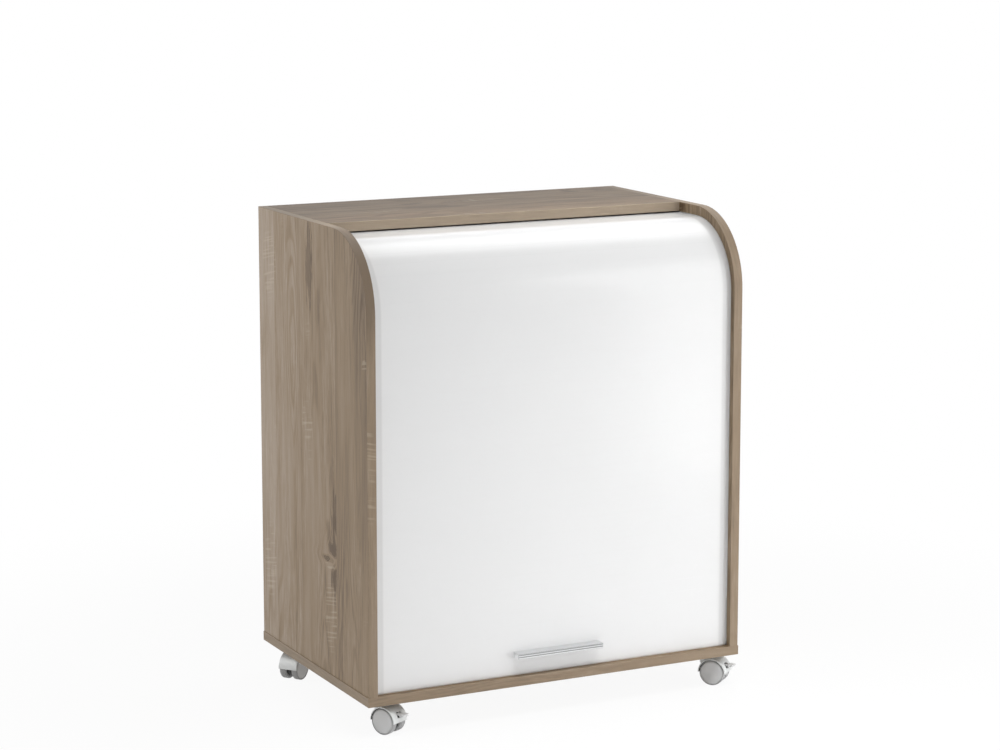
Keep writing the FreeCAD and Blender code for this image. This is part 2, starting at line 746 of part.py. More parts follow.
def plate_points():
    half = plate_hole_spacing / 2
    return [Vector(x, y, castor_height - plate_thickness) for x in (-half, half) for y in (-half, half)]


def castor_plate():
    half = plate_size / 2
    low = castor_height - plate_thickness
    plate = block((-half, -half, low), (half, half, castor_height))
    corners = [edge for edge in plate.Edges if edge.BoundBox.ZLength > plate_thickness / 2]
    plate = plate.makeFillet(plate_corner_radius, corners)
    holes = [rod(plate_hole_radius, point, point + UP * plate_thickness) for point in plate_points()]
    return plate.cut(holes + [rod(kingpin_radius + hole_clearance, UP * low, UP * castor_height)])


def castor_screw(point):
    head = rod(castor_screw_head_radius, point - UP * castor_screw_head_height, point)
    return head.fuse(rod(castor_screw_radius, point, point + UP * castor_screw_length))


def castors():
    """Four castors at the bottom panel's corners, with brake levers on the front two."""
    for place, angle in castor_angles.items():
        depth, side = place.split("_")
        y = castor_inset_front if depth == "front" else cabinet_depth - castor_inset_rear
        foot = Vector(SIDES[side] * (outer_x - castor_inset_side), y, 0)
        turned = Placement(foot, Rotation(UP, angle))
        square = Placement(foot, Rotation())
        with_brake = depth == "front"

        def placed(shape, spot=turned):
            moved = shape.copy()
            moved.Placement = spot.multiply(moved.Placement)
            return moved

        solids[f"castor_core_{place}"] = placed(castor_core(with_brake))
        solids[f"castor_hood_{place}"] = placed(castor_hood(with_brake))
        solids[f"castor_axle_{place}"] = placed(castor_axle())
        solids[f"castor_wheel_{place}_inner"] = placed(castor_wheel(1))
        solids[f"castor_wheel_{place}_outer"] = placed(castor_wheel(-1))
        if with_brake:
            solids[f"brake_lever_{place}"] = placed(brake_lever())
            solids[f"brake_pin_{place}"] = placed(brake_pin())
        groups["castor_plates"].append(placed(castor_plate(), square))
        groups["castor_kingpins"].append(placed(kingpin_shape(0.0)))
        for point in plate_points():
            groups["castor_screws"].append(placed(castor_screw(point), square))
            tip = point + UP * (castor_screw_length + dowel_end_play)
            cuts["bottom_panel"].append(placed(rod(castor_screw_radius + hole_clearance, point, tip), square))


def finished_parts():
    """Every node's shape, with its holes cut, moved so that the origin is in the middle of the footprint."""
    for step in (side_panels, side_edge_bands, bottom_panel, top_panel, back_panels, inner_boards, shelf_pegs,
                 shutter_tracks, board_fastenings, back_screws, front_slats, upper_slats, lead_rail, handle,
                 castors):
        step()
    shapes = {name: shape.cut(cuts[name]) if cuts[name] else shape for name, shape in solids.items()}
    shapes.update({name: Part.makeCompound(pieces) for name, pieces in groups.items()})
    boxes = [shape.optimalBoundingBox() for shape in shapes.values()]
    middle = (min(box.YMin for box in boxes) + max(box.YMax for box in boxes)) / 2
    return {name: shape.translated(ALONG_Y * -middle) for name, shape in shapes.items()}, middle


parts, middle_depth = finished_parts()
os.makedirs("parts", exist_ok=True)
for name, shape in parts.items():
    shape.exportStep(f"parts/{name}.step")
print(len(parts), "nodes; the side panels' front edges lie at y =", round(-middle_depth, 3))
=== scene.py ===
import math
from typing import NamedTuple

import bmesh
import bpy
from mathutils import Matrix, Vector


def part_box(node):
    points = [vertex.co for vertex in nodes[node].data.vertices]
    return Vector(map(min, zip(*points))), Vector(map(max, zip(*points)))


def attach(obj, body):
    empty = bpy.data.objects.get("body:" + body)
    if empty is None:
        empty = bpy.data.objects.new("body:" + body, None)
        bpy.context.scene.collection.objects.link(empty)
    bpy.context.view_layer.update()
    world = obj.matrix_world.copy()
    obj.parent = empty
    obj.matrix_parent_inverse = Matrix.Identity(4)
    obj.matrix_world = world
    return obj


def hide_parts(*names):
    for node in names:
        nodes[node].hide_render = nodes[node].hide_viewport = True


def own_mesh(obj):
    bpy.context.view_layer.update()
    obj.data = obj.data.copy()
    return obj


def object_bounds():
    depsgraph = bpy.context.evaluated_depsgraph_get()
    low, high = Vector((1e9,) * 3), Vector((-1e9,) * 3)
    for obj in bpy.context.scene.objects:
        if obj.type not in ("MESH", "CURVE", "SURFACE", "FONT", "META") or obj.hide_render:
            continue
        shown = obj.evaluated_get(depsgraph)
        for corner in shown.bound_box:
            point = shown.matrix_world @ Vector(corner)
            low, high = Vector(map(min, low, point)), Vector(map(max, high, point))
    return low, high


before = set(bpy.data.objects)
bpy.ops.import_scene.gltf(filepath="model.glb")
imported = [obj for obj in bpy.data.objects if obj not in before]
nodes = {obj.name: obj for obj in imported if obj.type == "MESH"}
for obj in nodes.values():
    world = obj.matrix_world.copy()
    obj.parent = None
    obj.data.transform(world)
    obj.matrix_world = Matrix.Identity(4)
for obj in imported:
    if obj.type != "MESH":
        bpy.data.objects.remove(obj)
cad_low, cad_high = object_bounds()

MILLIMETRE = 0.001

# Places read from the frame, in metres
front_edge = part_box("side_edge_band_left")[0].y
slats_low, slats_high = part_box("shutter_front_slats")
upper_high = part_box("shutter_upper_slats")[1]
rail_low, rail_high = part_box("shutter_rail")


# Writing materials

EDGE_SAMPLES = 4
EDGE_FACING = 0.8                # cosine between the flat normal and the rounded one along a full edge
MIX_FIRST = 6                    # places of the colour sockets among a mix node's inputs and outputs
MIX_SECOND = 7
MIX_RESULT = 2


class Tree:
    """A material's nodes, put down by short calls that take numbers, colours or other nodes' sockets."""

    def __init__(self, name):
        self.material = bpy.data.materials.new(name)
        self.material.use_nodes = True
        self.begin(self.material.node_tree, "ShaderNodeOutputMaterial")

    def begin(self, node_tree, output):
        self.nodes = node_tree.nodes
        self.links = node_tree.links
        self.nodes.clear()
        self.output = self.nodes.new(output)

    def put(self, socket, value):
        if isinstance(value, bpy.types.NodeSocket):
            self.links.new(value, socket)
        elif hasattr(value, "__len__") and len(value) == 3 and len(socket.default_value) == 4:
            socket.default_value = (*value, 1.0)
        else:
            socket.default_value = value

    def node(self, kind, inputs=(), **settings):
        made = self.nodes.new(kind)
        for name, value in settings.items():
            setattr(made, name, value)
        for name, value in dict(inputs).items():
            self.put(made.inputs[name], value)
        return made

    def axes(self):
        """The surface point's X, Y and Z in the object's own frame, in metres."""
        place = self.node("ShaderNodeTexCoord").outputs["Object"]
        return self.node("ShaderNodeSeparateXYZ", {0: place}).outputs

    def math(self, operation, first, second=0.0):
        return self.node("ShaderNodeMath", {0: first, 1: second}, operation=operation).outputs[0]

    def add(self, first, second):
        return self.math("ADD", first, second)

    def times(self, first, second):
        return self.math("MULTIPLY", first, second)

    def sum(self, *values):
        total = values[0]
        for value in values[1:]:
            total = self.add(total, value)
        return total

    def swing(self, value, weight):
        """A noise value as a plus or minus share of the weight."""
        return self.times(self.add(value, -0.5), weight)

    def point(self, x, y, z):
        return self.node("ShaderNodeCombineXYZ", {0: x, 1: y, 2: z}).outputs[0]

    def length(self, vector):
        return self.node("ShaderNodeVectorMath", {0: vector}, operation="LENGTH").outputs["Value"]

    def noise(self, place, scale=1.0, detail=2.0, roughness=0.5, distortion=0.0):
        inputs = {"Vector": place, "Scale": scale, "Detail": detail, "Roughness": roughness,
                  "Distortion": distortion}
        return self.node("ShaderNodeTexNoise", inputs).outputs[0]

    def cells(self, place, scale):
        return self.node("ShaderNodeTexVoronoi", {"Vector": place, "Scale": scale}).outputs["Color"]

    def fit(self, value, low, high, to_low=0.0, to_high=1.0, smooth=True):
        """The value carried from one range to another, held at the ends."""
        inputs = {"Value": value, "From Min": low, "From Max": high, "To Min": to_low, "To Max": to_high}
        kind = "SMOOTHSTEP" if smooth else "LINEAR"
        return self.node("ShaderNodeMapRange", inputs, interpolation_type=kind).outputs[0]

    def ramp(self, value, stops, interpolation="LINEAR"):
        made = self.node("ShaderNodeValToRGB", {0: value})
        made.color_ramp.interpolation = interpolation
        elements = made.color_ramp.elements
        while len(elements) < len(stops):
            elements.new(1.0)
        for element, (place, colour) in zip(elements, stops):
            element.position = place
            element.color = (*colour, 1.0)
        return made.outputs[0]

    def blend(self, share, first, second):
        made = self.node("ShaderNodeMix", data_type="RGBA")
        self.put(made.inputs[0], share)
        self.put(made.inputs[MIX_FIRST], first)
        self.put(made.inputs[MIX_SECOND], second)
        return made.outputs[MIX_RESULT]

    def bump(self, height, strength, distance):
        inputs = {"Height": height, "Strength": strength, "Distance": distance}
        return self.node("ShaderNodeBump", inputs).outputs[0]

    def edges(self, radius):
        """1 along sharp edges, falling to 0 within the radius."""
        rounded = self.node("ShaderNodeBevel", {"Radius": radius}, samples=EDGE_SAMPLES).outputs[0]
        flat = self.node("ShaderNodeNewGeometry").outputs["Normal"]
        facing = self.node("ShaderNodeVectorMath", {0: rounded, 1: flat}, operation="DOT_PRODUCT")
        return self.fit(facing.outputs["Value"], 1.0, EDGE_FACING)

    def surface(self, **inputs):
        """The finished shader. Names are the shader's own, with underscores for blanks."""
        shader = self.node("ShaderNodeBsdfPrincipled")
        for name, value in inputs.items():
            self.put(shader.inputs[name.replace("_", " ")], value)
        self.links.new(shader.outputs[0], self.output.inputs[0])
        return self.material


def dress(node, *materials):
    """Give a CAD node its materials."""
    mesh = nodes[node].data
    mesh.materials.clear()
    for material in materials:
        mesh.materials.append(material)


# Sawn oak print on the boards and their edging, with painted light, shade and sheen in some of its tones
# and patches

OAK_DARK = (0.112, 0.070, 0.037)
OAK_BROWN = (0.276, 0.196, 0.118)
OAK_LIGHT = (0.418, 0.338, 0.266)
OAK_SAWN = (0.57, 0.49, 0.38)
# The next two colours are blended into the edging: the first as a painted sheen, the second as painted
# light
OAK_PAINTED_SHEEN = (0.300, 0.238, 0.178)
OAK_PAINTED_LIGHT = (0.54, 0.45, 0.35)
PLAIN = ((0.0, 0.5),)


class Layer(NamedTuple):
    """A noise drawn out along the grain: its scales, a start of its own, its detail and its roughness."""
    across: float
    along: float
    start: float
    detail: float = 1.0
    rough: float = 0.5


BOW = Layer(4.0, 2.4, 0.0)
WAVE = Layer(30.0, 15.0, 0.0)
FINE = Layer(420.0, 34.0, 0.0, 4.0, 0.7)
MIDDLING = Layer(150.0, 9.0, 2.0, 3.0, 0.65)
BROAD = Layer(34.0, 2.6, 3.0, 4.0, 0.6)
BUSY = Layer(15.0, 3.5, 41.0)
LUMPY = Layer(55.0, 75.0, 43.0, 2.0)
LINES = Layer(190.0, 5.0, 5.0)
PORES = Layer(1250.0, 40.0, 17.0)
ARCHES = Layer(9.0, 0.9, 7.0, 1.0, 0.4)
ARCHED = Layer(7.0, 1.6, 11.0)
SAW_BARS = Layer(11.0, 210.0, 23.0)
SAWN = Layer(16.0, 5.0, 29.0)

# Noise values between which a form of the grain sets in
LINE_CUT = (0.60, 0.74)
ARCHED_CUT = (0.42, 0.60)
BUSY_CUT = (0.36, 0.64)
SAW_BAR_CUT = (0.50, 0.64)
SAWN_CUT = (0.70, 0.80)

# How far the grain sways to its sides, in metres
BOW_SWAY = 0.03
WAVE_SWAY = 0.005

# How much each form lightens or darkens the oak
FINE_WEIGHT = 0.85
MIDDLING_WEIGHT = 0.70
BROAD_WEIGHT = 0.85
TONE_WEIGHT = 1.8
LINE_SHADE = -0.10
PORE_SHADE = -0.10
RING_SHADE = -0.22
JOIN_SHADE = -0.18
BUSY_RANGE = (0.35, 1.25)        # the fine grain's share in quiet and in busy places
SAWN_SHARE = 0.30

TONE_JUMP = 31.0                 # how far the pattern moves on with a plank's tone
JOIN_HALF_WIDTH = 0.0012
ARCH_RINGS = 190.0               # growth rings in the arches, in radians of the noise
ARCH_WAVE = 0.03
RING_CUT = (-0.2, 1.0)           # heights of the rings' wave between which a ring sets in
SAW_SLANT = 0.2                  # rise of the saw bars towards the front
KNOT_REACH = 2.6                 # how far the grain bends around a knot, in sizes of the knot
KNOT_PUSH = 0.7                  # share of the way that the grain is pushed aside
KNOT_RINGS = 17.0                # rings of a knot, in radians from its middle to its rim
KNOT_RING_DEPTH = 0.4
SAME_TONE = (0.02, 0.01)         # differences in tone between which a place turns into the plank itself

# Distances from the middle, in half sizes, where a mark, patch, knot or flame begins and where it is full
MARK_FADE = (1.0, 0.6)
PATCH_FADE = (1.0, 0.1)
KNOT_FADE = (1.1, 0.1)
FLAME_FADE = (1.0, 0.3)

# How far their outlines wander with the grain, in half sizes
PATCH_FRAY = 0.9
KNOT_FRAY = 1.1
FLAME_FRAY = 1.8
FLAME_FINE_FRAY = 2.4

# Relief and gloss of the print
FINE_RELIEF = 0.5
PORE_RELIEF = -0.6
SAWN_RELIEF = 0.25
FINE_SPAN = (0.25, 0.75)         # values of the fine grain between which the roughness changes
OAK_ROUGHNESS = (0.40, 0.54)


def oak(name, along, across, planks=PLAIN, start=0.0, seed=0.0, marks=(), patches=(), knots=(), flames=(),
        wild_marks=0.0, painted_light_share=0.0, painted_light_colour=OAK_PAINTED_SHEEN):
    """Oak with its grain along one axis.

    Planks are (place across the grain, tone around 0.5). Marks of the saw are (place across, place along,
    half size across, half size along), in metres from the start and the floor. Patches, knots and flames
    have a fifth value: how much lighter they are. Patches are soft, knots are ringed, and flames break up
    along the grain. Some patches are painted light or painted shade rather than grain. A share of a paler
    colour can be blended in: a painted sheen on the side and bottom edging, and painted light on the top
    edging.
    """
    tree = Tree(name)
    x, y, z = tree.axes()
    axis = {"x": x, "y": y, "z": z, "yz": tree.add(y, z), "xy": tree.add(x, y)}
    run = axis[along]
    side = tree.add(axis[across], -start)
    tone = tree.ramp(side, [(place, (shade,) * 3) for place, shade in planks], "CONSTANT")
    shift = tree.add(tree.times(tone, TONE_JUMP), seed)

    def streaks(layer, where, lengthwise=run):
        place = tree.point(tree.times(where, layer.across), tree.add(shift, layer.start),
                           tree.times(lengthwise, layer.along))
        return tree.noise(place, detail=layer.detail, roughness=layer.rough)

    wave = streaks(WAVE, side)
    bowed = tree.sum(side, tree.swing(streaks(BOW, side), BOW_SWAY), tree.swing(wave, WAVE_SWAY))

    def from_middle(middle_across, middle_along, half_across, half_along):
        away = tree.point(tree.times(tree.add(side, -middle_across), 1 / half_across),
                          tree.times(tree.add(run, -middle_along), 1 / half_along), 0.0)
        return tree.length(away)

    def on_plank(place):
        """1 on the plank at a place across the grain, and 0 on the others."""
        own = [shade for begin, shade in planks if begin <= place][-1]
        return tree.fit(tree.math("ABSOLUTE", tree.add(tone, -own)), *SAME_TONE)

    for middle_across, middle_along, half_across, half_along, _ in knots:
        away = from_middle(middle_across, middle_along, KNOT_REACH * half_across, KNOT_REACH * half_along)
        near = tree.times(tree.fit(away, 1.0, 0.0), on_plank(middle_across))
        bowed = tree.add(bowed, tree.times(tree.times(near, tree.add(side, -middle_across)), -KNOT_PUSH))

    fine = streaks(FINE, bowed)
    middling = streaks(MIDDLING, bowed)
    broad = streaks(BROAD, bowed)
    busy = tree.fit(streaks(BUSY, bowed), *BUSY_CUT, *BUSY_RANGE)
    lumpy = streaks(LUMPY, side)
    lines = tree.fit(streaks(LINES, bowed), *LINE_CUT)
    pores = tree.fit(streaks(PORES, bowed), *LINE_CUT)
    arch = tree.add(streaks(ARCHES, side), tree.swing(wave, ARCH_WAVE))
    rings = tree.fit(tree.math("SINE", tree.times(arch, ARCH_RINGS)), *RING_CUT)
    arched = tree.fit(streaks(ARCHED, side), *ARCHED_CUT)
    figure = tree.times(tree.times(rings, arched), RING_SHADE)

    # Light bars left by the saw, lying across the grain like the rungs of a ladder
    slanted = tree.add(run, tree.times(side, SAW_SLANT))
    bars = tree.fit(streaks(SAW_BARS, side, slanted), *SAW_BAR_CUT)
    sawn_here = tree.fit(streaks(SAWN, bowed), *[cut - wild_marks for cut in SAWN_CUT])
    for mark in marks:
        sawn_here = tree.math("MAXIMUM", sawn_here, tree.fit(from_middle(*mark), *MARK_FADE))
    sawn = tree.times(bars, sawn_here)

    grain = tree.times(tree.add(tree.swing(fine, FINE_WEIGHT), tree.swing(middling, MIDDLING_WEIGHT)), busy)
    value = tree.sum(0.5, grain, tree.swing(broad, BROAD_WEIGHT), tree.swing(tone, TONE_WEIGHT),
                     tree.times(lines, LINE_SHADE), tree.times(pores, PORE_SHADE), figure)
    for join, _ in planks[1:]:
        away = tree.math("ABSOLUTE", tree.add(side, -join))
        value = tree.add(value, tree.fit(away, JOIN_HALF_WIDTH, 0.0, 0.0, JOIN_SHADE))
    for *where, lighter in patches:
        away = tree.add(from_middle(*where), tree.swing(broad, PATCH_FRAY))
        value = tree.add(value, tree.times(tree.fit(away, *PATCH_FADE), lighter))
    for *where, lighter in knots:
        away = tree.add(from_middle(*where), tree.swing(lumpy, KNOT_FRAY))
        ringed = tree.math("SINE", tree.times(away, KNOT_RINGS))
        amount = tree.times(tree.add(tree.times(ringed, KNOT_RING_DEPTH), 1.0), lighter)
        inside = tree.times(tree.fit(away, *KNOT_FADE), on_plank(where[0]))
        value = tree.add(value, tree.times(inside, amount))
    for *where, lighter in flames:
        away = tree.sum(from_middle(*where), tree.swing(middling, FLAME_FRAY),
                        tree.swing(fine, FLAME_FINE_FRAY))
        inside = tree.times(tree.fit(away, *FLAME_FADE), on_plank(where[0]))
        value = tree.add(value, tree.times(inside, lighter))
    colour = tree.ramp(value, ((0.0, OAK_DARK), (0.5, OAK_BROWN), (1.0, OAK_LIGHT)))
    # A paler colour blended in: painted sheen and painted light on the edging
    colour = tree.blend(painted_light_share, colour, painted_light_colour)
    colour = tree.blend(tree.times(sawn, SAWN_SHARE), colour, OAK_SAWN)
    relief = tree.sum(tree.times(fine, FINE_RELIEF), tree.times(pores, PORE_RELIEF),
                      tree.times(sawn, SAWN_RELIEF))
    roughness = tree.fit(fine, *FINE_SPAN, *OAK_ROUGHNESS, smooth=False)
    return tree.surface(Base_Color=colour, Roughness=roughness, Specular_IOR_Level=0.3,
                        Normal=tree.bump(relief, strength=0.35, distance=0.0002))


# Tones of the left side's planks rise towards the rear: partly the planks' own tone, partly a painted sheen
# that grows towards the rear
SIDE_PLANKS_AND_PAINTED_SHEEN = ((0.0, 0.47), (0.141, 0.54), (0.312, 0.61), (0.435, 0.67))
SIDE_MARKS = ((0.462, 0.830, 0.040, 0.080), (0.474, 0.236, 0.036, 0.090), (0.279, 0.550, 0.030, 0.045),
              (0.172, 0.196, 0.034, 0.085), (0.176, 0.291, 0.026, 0.008), (0.010, 0.695, 0.014, 0.018),
              (0.010, 0.222, 0.014, 0.014))
SIDE_KNOTS = ((0.160, 0.325, 0.032, 0.017, -0.85), (0.190, 0.303, 0.032, 0.009, -0.75))
SIDE_FLAMES = ((0.154, 0.380, 0.018, 0.064, -0.45), (0.182, 0.352, 0.014, 0.034, -0.35),
               (0.158, 0.266, 0.020, 0.040, -0.60), (0.265, 0.850, 0.020, 0.110, -0.42))
# The two narrow dark patches are streaks in the grain. The wide ones are painted shade at the front top,
# painted light at the front bottom and a painted sheen at the rear top
SIDE_STREAKS_AND_PAINTED_LIGHT = ((0.166, 0.580, 0.026, 0.300, -0.14), (0.345, 0.400, 0.014, 0.250, -0.18),
                (0.050, 0.800, 0.090, 0.220, -0.06), (0.060, 0.200, 0.090, 0.240, 0.16),
                (0.470, 0.830, 0.070, 0.160, 0.14))
# Painted shade that darkens the side edging towards its arc, against the light from above
BAND_PAINTED_SHADE = ((0.015, 0.650, 0.060, 0.240, -0.70),)
RIGHT_PLANKS = ((0.0, 0.50), (0.11, 0.46), (0.27, 0.57), (0.40, 0.50))
# The top's planks are toned darker than the sides' to hold back the light that falls on the top: painted
# shade
TOP_PLANKS_PAINTED_SHADE = ((0.0, 0.32), (0.29, 0.38), (0.40, 0.34))
BOTTOM_PLANKS = ((0.0, 0.48), (0.16, 0.53), (0.33, 0.46))
SHELF_PLANKS = ((0.0, 0.53), (0.15, 0.47), (0.29, 0.55))
UPRIGHT_PLANKS = ((0.0, 0.49), (0.18, 0.55), (0.34, 0.46))
BACK_PLANKS = ((0.0, 0.48), (0.2, 0.54), (0.45, 0.47), (0.62, 0.55))


def oak_boards():
    left = oak("oak_side_left", "z", "y", SIDE_PLANKS_AND_PAINTED_SHEEN, front_edge, marks=SIDE_MARKS, patches=SIDE_STREAKS_AND_PAINTED_LIGHT,
               knots=SIDE_KNOTS, flames=SIDE_FLAMES)
    right = oak("oak_side_right", "z", "y", RIGHT_PLANKS, front_edge, seed=5.0, wild_marks=0.06)
    top = oak("oak_top", "x", "y", TOP_PLANKS_PAINTED_SHADE, front_edge, seed=9.0, wild_marks=0.03)
    bottom = oak("oak_bottom", "x", "y", BOTTOM_PLANKS, front_edge, seed=13.0)
    shelf = oak("oak_shelf", "x", "y", SHELF_PLANKS, front_edge, seed=17.0, wild_marks=0.05)
    upright = oak("oak_upright", "z", "y", UPRIGHT_PLANKS, front_edge, seed=21.0, wild_marks=0.05)
    inner_back = oak("oak_inner_back", "z", "x", BACK_PLANKS, cad_low.x, seed=33.0, wild_marks=0.05)
    # Edging: the paler blends are a painted sheen on the sides and bottom and painted light on the top; the
    # band patch is painted shade towards the arc
    side_band = oak("oak_side_edging", "yz", "x", PLAIN, cad_low.x, seed=25.0, patches=BAND_PAINTED_SHADE,
                    painted_light_share=0.5)
    flat_band = oak("oak_bottom_edging", "xy", "z", PLAIN, seed=29.0, painted_light_share=0.5)
    top_band = oak("oak_top_edging", "x", "z", PLAIN, seed=37.0, painted_light_share=0.6, painted_light_colour=OAK_PAINTED_LIGHT)
    finish = {
        "side_panel_left": left, "side_panel_right": right, "top_panel": top, "bottom_panel": bottom,
        "work_shelf": shelf, "loose_shelf": shelf, "lower_divider": upright, "inner_back_panel": inner_back,
        "side_edge_band_left": side_band, "side_edge_band_right": side_band, "bottom_edge_band": flat_band,
        "top_edge_band": top_band,
    }
    for node, material in finish.items():
        dress(node, material)


# Other materials

def hardboard():
    tree = Tree("back_hardboard")
    x, y, z = tree.axes()
    place = tree.point(x, y, z)
    drawn = tree.point(tree.times(x, 700.0), y, tree.times(z, 500.0))
    fibre = tree.noise(drawn, detail=4.0, roughness=0.7, distortion=1.5)
    cloud = tree.noise(place, scale=7.0, detail=3.0)
    flecks = tree.fit(tree.noise(place, scale=900.0, detail=1.0), 0.68, 0.78)
    share = tree.sum(tree.times(fibre, 0.6), tree.times(cloud, 0.5), tree.times(flecks, -0.25))
    colour = tree.ramp(share, ((0.2, (0.34, 0.27, 0.20)), (0.8, (0.47, 0.40, 0.32))))
    return tree.surface(Base_Color=colour, Roughness=tree.fit(cloud, 0.3, 0.7, 0.55, 0.7),
                        Normal=tree.bump(tree.add(fibre, flecks), strength=0.25, distance=0.0002))


SIDE_SHADE_FROM = (0.357, 0.362)         # distances from the middle between which a slat greys towards its ends: painted shade from the side panels' edges


def gloss_white():
    """Lacquered shutter: even white, with painted shade greying its ends by the side panels, and a trace of
    handling in its gloss.
    """
    tree = Tree("gloss_white")
    x, y, z = tree.axes()
    peel = tree.noise(tree.point(x, y, z), scale=380.0, detail=1.0)
    drawn = tree.point(tree.times(x, 6.0), y, tree.times(z, 14.0))
    wipe = tree.noise(drawn, detail=3.0, roughness=0.6, distortion=0.4)
    colour = tree.ramp(wipe, ((0.2, (0.808, 0.810, 0.812)), (0.8, (0.815, 0.817, 0.819))))
    # Painted shade cast by the side panels' edges on both ends of the shutter
    side_shade = tree.fit(tree.math("ABSOLUTE", x), *SIDE_SHADE_FROM)
    colour = tree.blend(side_shade, colour, (0.715, 0.717, 0.720))
    return tree.surface(Base_Color=colour, Roughness=tree.fit(wipe, 0.2, 0.8, 0.150, 0.165), IOR=1.5,
                        Normal=tree.bump(peel, strength=0.02, distance=0.0001))


WORN_EDGE = 0.9 * MILLIMETRE
WORN_SHARE = 0.5


def moulded(name, colour, shade, rough, grain=900.0, relief=0.12, metallic=0.0, wear=None):
    """Moulded plastic with a fine texture, a little unevenness and paler worn edges."""
    tree = Tree(name)
    x, y, z = tree.axes()
    place = tree.point(x, y, z)
    texture = tree.noise(place, scale=grain, detail=2.0, roughness=0.6)
    cloud = tree.noise(place, scale=34.0, detail=3.0)
    mottle = tree.add(tree.times(cloud, 0.7), tree.times(texture, 0.3))
    base = tree.ramp(mottle, ((0.3, shade), (0.7, colour)))
    if wear:
        base = tree.blend(tree.times(tree.edges(WORN_EDGE), WORN_SHARE), base, wear)
    return tree.surface(Base_Color=base, Roughness=tree.fit(cloud, 0.3, 0.7, rough - 0.05, rough + 0.07),
                        Metallic=metallic, Normal=tree.bump(texture, strength=relief, distance=0.0001))


BRUSH_ALONG = 9.0                # scales of the brushed lines, along the bar and across it
BRUSH_ACROSS = 2600.0


def brushed_aluminium(name, shade, colour):
    tree = Tree(name)
    x, y, z = tree.axes()
    drawn = tree.point(tree.times(x, BRUSH_ALONG), tree.times(y, BRUSH_ACROSS), tree.times(z, BRUSH_ACROSS))
    lines = tree.noise(drawn, detail=3.0, roughness=0.6)
    cloud = tree.noise(tree.point(x, y, z), scale=14.0, detail=2.0)
    base = tree.ramp(lines, ((0.25, shade), (0.75, colour)))
    rough = tree.add(tree.fit(lines, 0.2, 0.8, 0.26, 0.36), tree.fit(cloud, 0.3, 0.7, 0.0, 0.05))
    return tree.surface(Base_Color=base, Roughness=rough, Metallic=1.0,
                        Normal=tree.bump(lines, strength=0.04, distance=0.00005))


HANDLE_LIP = 1.5 * MILLIMETRE    # depth of the grooves and rounds on the lip's face
GROOVE_SLANT = (0.3, 0.95)       # rise of the normals of a groove's faces


def handle():
    """The bar handle, with painted shade making the grooves in its face darker than the brushed metal
    between them.
    """
    bright = brushed_aluminium("brushed_aluminium", (0.70, 0.705, 0.71), (0.82, 0.825, 0.83))
    grooves = brushed_aluminium("aluminium_groove_painted_shade", (0.30, 0.305, 0.31), (0.40, 0.405, 0.41))
    dress("shutter_handle", bright, grooves)
    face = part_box("shutter_handle")[0].y + HANDLE_LIP
    # Groove faces take the darker metal: painted shade
    for polygon in nodes["shutter_handle"].data.polygons:
        slanted = GROOVE_SLANT[0] < abs(polygon.normal.z) < GROOVE_SLANT[1]
        if slanted and polygon.center.y < face:
            polygon.material_index = 1


def zinc():
    tree = Tree("bright_zinc")
    x, y, z = tree.axes()
    place = tree.point(x, y, z)
    film = tree.noise(place, scale=90.0, detail=3.0)
    share = tree.add(tree.times(film, 0.6), tree.times(tree.cells(place, scale=420.0), 0.4))
    colour = tree.ramp(share, ((0.2, (0.50, 0.51, 0.50)), (0.8, (0.74, 0.74, 0.72))))
    return tree.surface(Base_Color=colour, Roughness=tree.fit(film, 0.3, 0.7, 0.24, 0.42), Metallic=1.0,
                        Normal=tree.bump(film, strength=0.06, distance=0.0001))


def felt():
    tree = Tree("felt_pale_painted_light")
    x, y, z = tree.axes()
    fibre = tree.noise(tree.point(x, y, z), scale=1500.0, detail=4.0, roughness=0.75, distortion=2.0)
    # Felt colour made pale to lift the shade in the gap under the shutter: painted light
    colour = tree.ramp(fibre, ((0.3, (0.68, 0.67, 0.65)), (0.75, (0.86, 0.85, 0.83))))
    return tree.surface(Base_Color=colour, Roughness=0.95, Sheen_Weight=0.4,
                        Normal=tree.bump(fibre, strength=0.8, distance=0.0006))


def beech():
    tree = Tree("beech_dowel")
    x, y, z = tree.axes()
    drawn = tree.point(tree.times(x, 60.0), tree.times(y, 900.0), tree.times(z, 900.0))
    grain = tree.noise(drawn, detail=3.0)
    colour = tree.ramp(grain, ((0.3, (0.45, 0.30, 0.17)), (0.75, (0.66, 0.49, 0.31))))
    return tree.surface(Base_Color=colour, Roughness=0.6,
                        Normal=tree.bump(grain, strength=0.3, distance=0.0002))


# Making pieces

SHARP_ANGLE = math.radians(25)


def piece(builder, name, body, slot, replaced, *materials):
    """An object from a mesh in the making, which rides on a body and stands for a CAD node."""
    bmesh.ops.recalc_face_normals(builder, faces=builder.faces)
    mesh = bpy.data.meshes.new(name)
    builder.to_mesh(mesh)
    builder.free()
    mesh.polygons.foreach_set("use_smooth", [True] * len(mesh.polygons))
    mesh.set_sharp_from_angle(angle=SHARP_ANGLE)
    for material in materials:
        mesh.materials.append(material)
    made = bpy.data.objects.new(name, mesh)
    bpy.context.scene.collection.objects.link(made)
    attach(made, body)
    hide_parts(replaced)
    return made


def wall(builder, upper, lower):
    """Faces between two closed rows of the same number of points."""
    for number, corner in enumerate(upper):
        after = (number + 1) % len(upper)
        builder.faces.new((corner, upper[after], lower[after], lower[number]))


def upright_points(builder, place, direction, outline, level):
    """An outline's points at a distance along a direction from a place."""
    turn = direction.to_track_quat("Z", "Y").to_matrix()
    return [builder.verts.new(place + turn @ Vector((x, y, level))) for x, y in outline]


def circle(radius, sides):
    angles = [math.tau * step / sides for step in range(sides)]
    return [(radius * math.cos(angle), radius * math.sin(angle)) for angle in angles]


